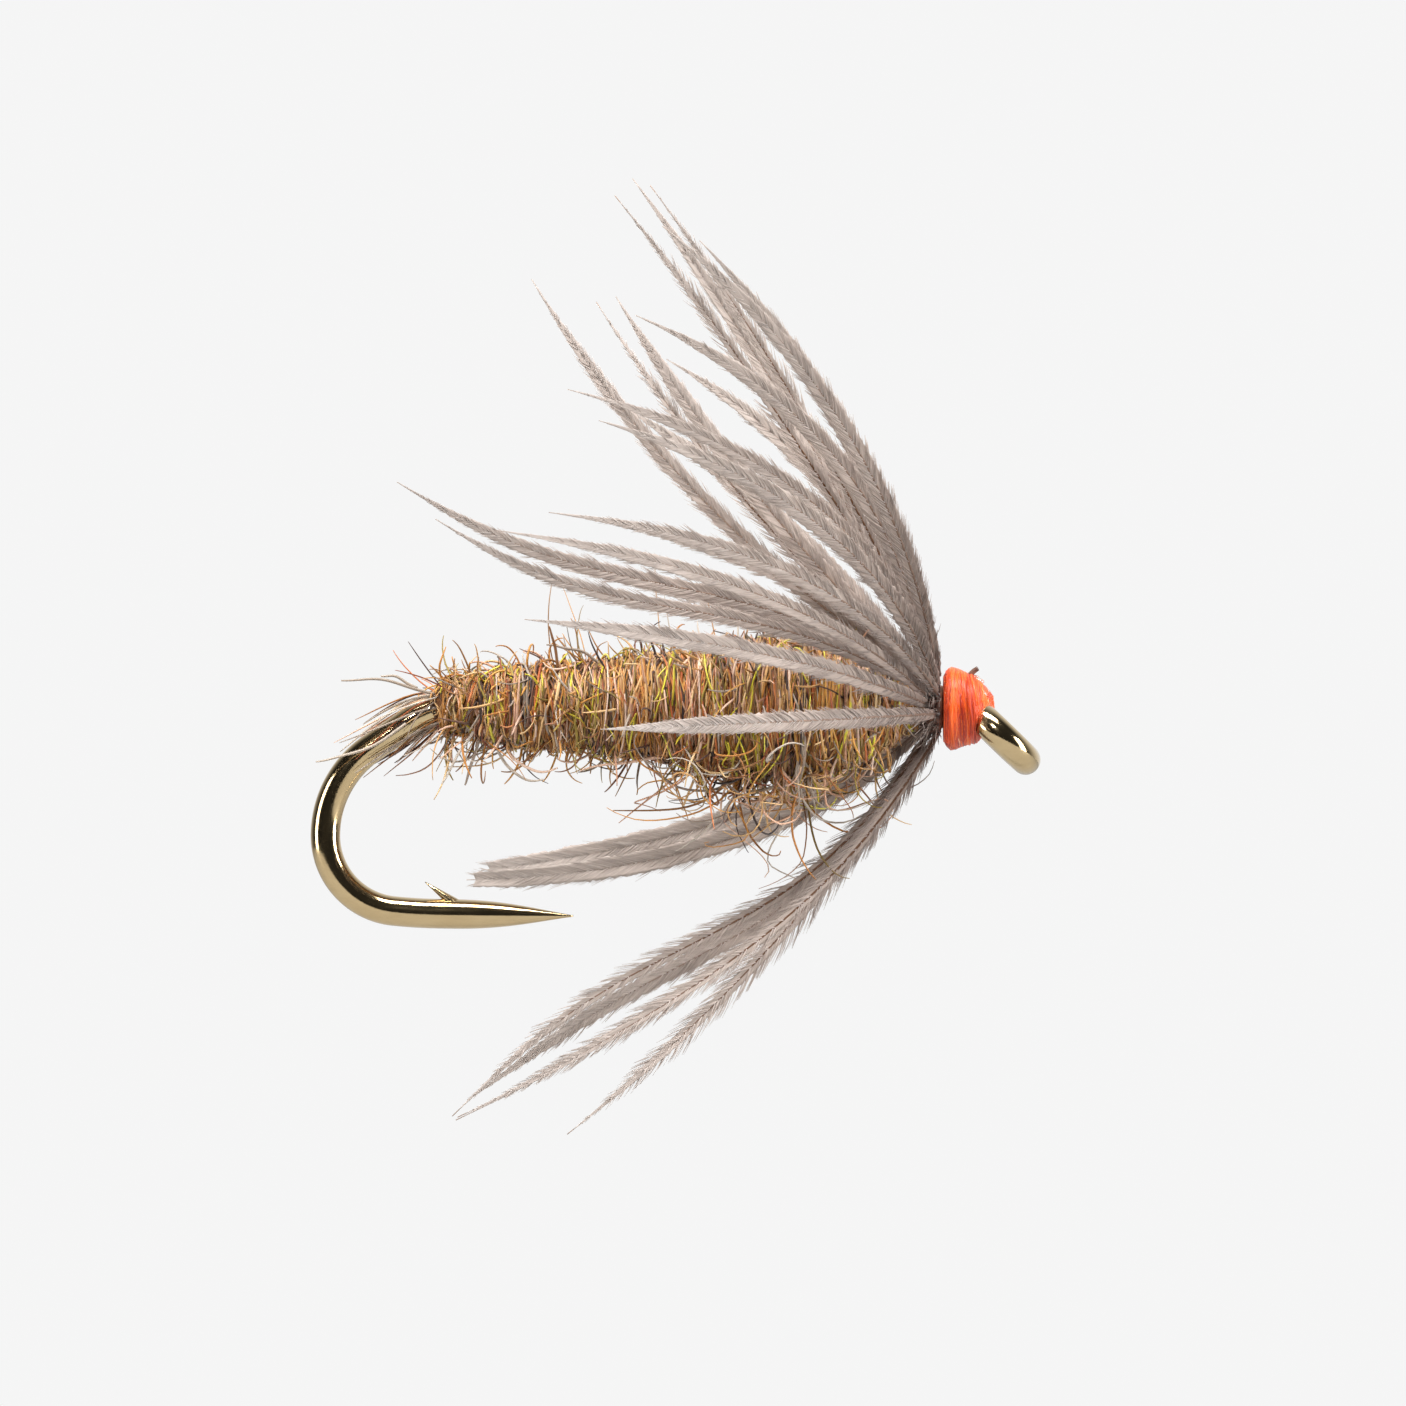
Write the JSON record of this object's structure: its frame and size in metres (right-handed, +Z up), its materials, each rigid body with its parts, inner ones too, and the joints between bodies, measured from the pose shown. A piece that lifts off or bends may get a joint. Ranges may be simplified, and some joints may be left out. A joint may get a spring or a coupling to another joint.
{
  "type": "soft-hackle fishing fly",
  "caption": "Artificial fishing fly: bronze hook with a turned-down eye, dubbed fur body, orange thread head and swept-back soft feather fibres.",
  "frame": {"origin": "centre of the hole in the hook's eye", "axes": "+X toward the eye end along the shank, -X toward the bend, +Z up, hook point below; the hook lies in the XZ plane"},
  "size_m": [0.013, 0.0152, 0.0171],
  "materials": {
    "hook_bronze": "polished bronze lacquer",
    "thread": "waxed, glossy",
    "dubbing": "shaggy fur",
    "guard_hair": "matte",
    "flash": "satin",
    "stem": "satin",
    "hackle": "soft, slightly translucent"
  },
  "bodies": {
    "fly_body": {"hook": "hook_bronze", "thread_underwrap": "thread", "dubbing_abdomen": "dubbing", "dubbing_thorax": "dubbing", "guard_hairs_top": "guard_hair", "guard_hairs_under": "guard_hair", "flash_fibres": "flash", "tail_fibres": "guard_hair", "thread_collar": "thread", "thread_nose": "thread", "hackle_stem_end": "stem", "hackle_stem_turns": "stem"},
    "hackle_side": {"hackle_fibre_01": "hackle", "hackle_fibre_02": "hackle"},
    "hackle_side_upper": {"hackle_fibre_03": "hackle", "hackle_fibre_04": "hackle"},
    "hackle_over_body": {"hackle_fibre_05": "hackle", "hackle_fibre_07": "hackle"},
    "hackle_shoulder": {"hackle_fibre_06": "hackle", "hackle_fibre_08": "hackle"},
    "hackle_top_near": {"hackle_fibre_09": "hackle", "hackle_fibre_10": "hackle", "hackle_fibre_11": "hackle"},
    "hackle_top": {"hackle_fibre_12": "hackle", "hackle_fibre_13": "hackle", "hackle_fibre_14": "hackle"},
    "hackle_top_rear": {"hackle_fibre_15": "hackle", "hackle_fibre_16": "hackle", "hackle_fibre_17": "hackle"},
    "hackle_top_far": {"hackle_fibre_18": "hackle", "hackle_fibre_19": "hackle"},
    "hackle_far_upper": {"hackle_fibre_20": "hackle", "hackle_fibre_21": "hackle"},
    "hackle_far_side": {"hackle_fibre_22": "hackle", "hackle_fibre_23": "hackle"},
    "hackle_far_lower": {"hackle_fibre_24": "hackle", "hackle_fibre_25": "hackle"},
    "hackle_throat_far": {"hackle_fibre_26": "hackle", "hackle_fibre_27": "hackle", "hackle_fibre_28": "hackle"},
    "hackle_throat_near": {"hackle_fibre_29": "hackle", "hackle_fibre_30": "hackle"}
  },
  "joints": [
    {"name": "hackle_side_sweep", "type": "hinge", "parent": "fly_body", "child": "hackle_side", "pos_m": [-0.00122, -0.00048, 0.00049], "axis": [0, -0.0958, -0.9954], "range_deg": [-5.73, 10.73], "stiffness_Nm_per_rad": 0.000005},
    {"name": "hackle_side_upper_sweep", "type": "hinge", "parent": "fly_body", "child": "hackle_side_upper", "pos_m": [-0.00122, -0.00045, 0.00071], "axis": [0, -0.454, -0.891], "range_deg": [-4.83, 9.04], "stiffness_Nm_per_rad": 0.000005},
    {"name": "hackle_over_body_sweep", "type": "hinge", "parent": "fly_body", "child": "hackle_over_body", "pos_m": [-0.00131, -0.00035, 0.00087], "axis": [0, -0.7071, -0.7071], "range_deg": [-1.61, 3.01], "stiffness_Nm_per_rad": 0.000005},
    {"name": "hackle_shoulder_sweep", "type": "hinge", "parent": "fly_body", "child": "hackle_shoulder", "pos_m": [-0.00113, -0.00036, 0.00085], "axis": [0, -0.682, -0.7314], "range_deg": [-6.09, 11.41], "stiffness_Nm_per_rad": 0.000005},
    {"name": "hackle_top_near_sweep", "type": "hinge", "parent": "fly_body", "child": "hackle_top_near", "pos_m": [-0.00119, -0.00021, 0.00097], "axis": [0, -0.8802, -0.4746], "range_deg": [-8.4, 15.74], "stiffness_Nm_per_rad": 0.000005},
    {"name": "hackle_sweep", "type": "hinge", "parent": "fly_body", "child": "hackle_top", "pos_m": [-0.00113, 0.00001, 0.00101], "axis": [0, -0.9986, -0.0523], "range_deg": [-8, 15], "stiffness_Nm_per_rad": 0.000005},
    {"name": "hackle_top_rear_sweep", "type": "hinge", "parent": "fly_body", "child": "hackle_top_rear", "pos_m": [-0.00131, 0.00011, 0.001], "axis": [0, -0.9769, 0.2136], "range_deg": [-6.11, 11.44], "stiffness_Nm_per_rad": 0.000005},
    {"name": "hackle_top_far_sweep", "type": "hinge", "parent": "fly_body", "child": "hackle_top_far", "pos_m": [-0.00122, 0.00032, 0.0009], "axis": [0, -0.809, 0.5878], "range_deg": [-6.87, 12.88], "stiffness_Nm_per_rad": 0.000005},
    {"name": "hackle_far_upper_sweep", "type": "hinge", "parent": "fly_body", "child": "hackle_far_upper", "pos_m": [-0.00122, 0.00043, 0.00076], "axis": [0, -0.4617, 0.887], "range_deg": [-4.88, 9.14], "stiffness_Nm_per_rad": 0.000005},
    {"name": "hackle_far_side_sweep", "type": "hinge", "parent": "fly_body", "child": "hackle_far_side", "pos_m": [-0.00122, 0.00048, 0.00054], "axis": [0, -0.0175, 0.9998], "range_deg": [-5.66, 10.6], "stiffness_Nm_per_rad": 0.000005},
    {"name": "hackle_far_lower_sweep", "type": "hinge", "parent": "fly_body", "child": "hackle_far_lower", "pos_m": [-0.00122, 0.00043, 0.00032], "axis": [0, 0.4848, 0.8746], "range_deg": [-3.34, 6.25], "stiffness_Nm_per_rad": 0.000005},
    {"name": "hackle_throat_far_sweep", "type": "hinge", "parent": "fly_body", "child": "hackle_throat_far", "pos_m": [-0.00125, 0.00009, 0.00006], "axis": [0, 0.9967, 0.0814], "range_deg": [-3.97, 7.43], "stiffness_Nm_per_rad": 0.000005},
    {"name": "hackle_throat_near_sweep", "type": "hinge", "parent": "fly_body", "child": "hackle_throat_near", "pos_m": [-0.00113, -0.00011, 0.00006], "axis": [0, 0.9833, -0.1822], "range_deg": [-4.87, 9.13], "stiffness_Nm_per_rad": 0.000005}
  ],
  "couplings": [
    {"joint": "hackle_side_sweep", "follows": "hackle_sweep", "ratio": 0.715},
    {"joint": "hackle_side_upper_sweep", "follows": "hackle_sweep", "ratio": 0.602},
    {"joint": "hackle_over_body_sweep", "follows": "hackle_sweep", "ratio": 0.2},
    {"joint": "hackle_shoulder_sweep", "follows": "hackle_sweep", "ratio": 0.76},
    {"joint": "hackle_top_near_sweep", "follows": "hackle_sweep", "ratio": 1.049},
    {"joint": "hackle_top_rear_sweep", "follows": "hackle_sweep", "ratio": 0.762},
    {"joint": "hackle_top_far_sweep", "follows": "hackle_sweep", "ratio": 0.858},
    {"joint": "hackle_far_upper_sweep", "follows": "hackle_sweep", "ratio": 0.609},
    {"joint": "hackle_far_side_sweep", "follows": "hackle_sweep", "ratio": 0.706},
    {"joint": "hackle_far_lower_sweep", "follows": "hackle_sweep", "ratio": 0.416},
    {"joint": "hackle_throat_far_sweep", "follows": "hackle_sweep", "ratio": 0.495},
    {"joint": "hackle_throat_near_sweep", "follows": "hackle_sweep", "ratio": 0.608}
  ]
}
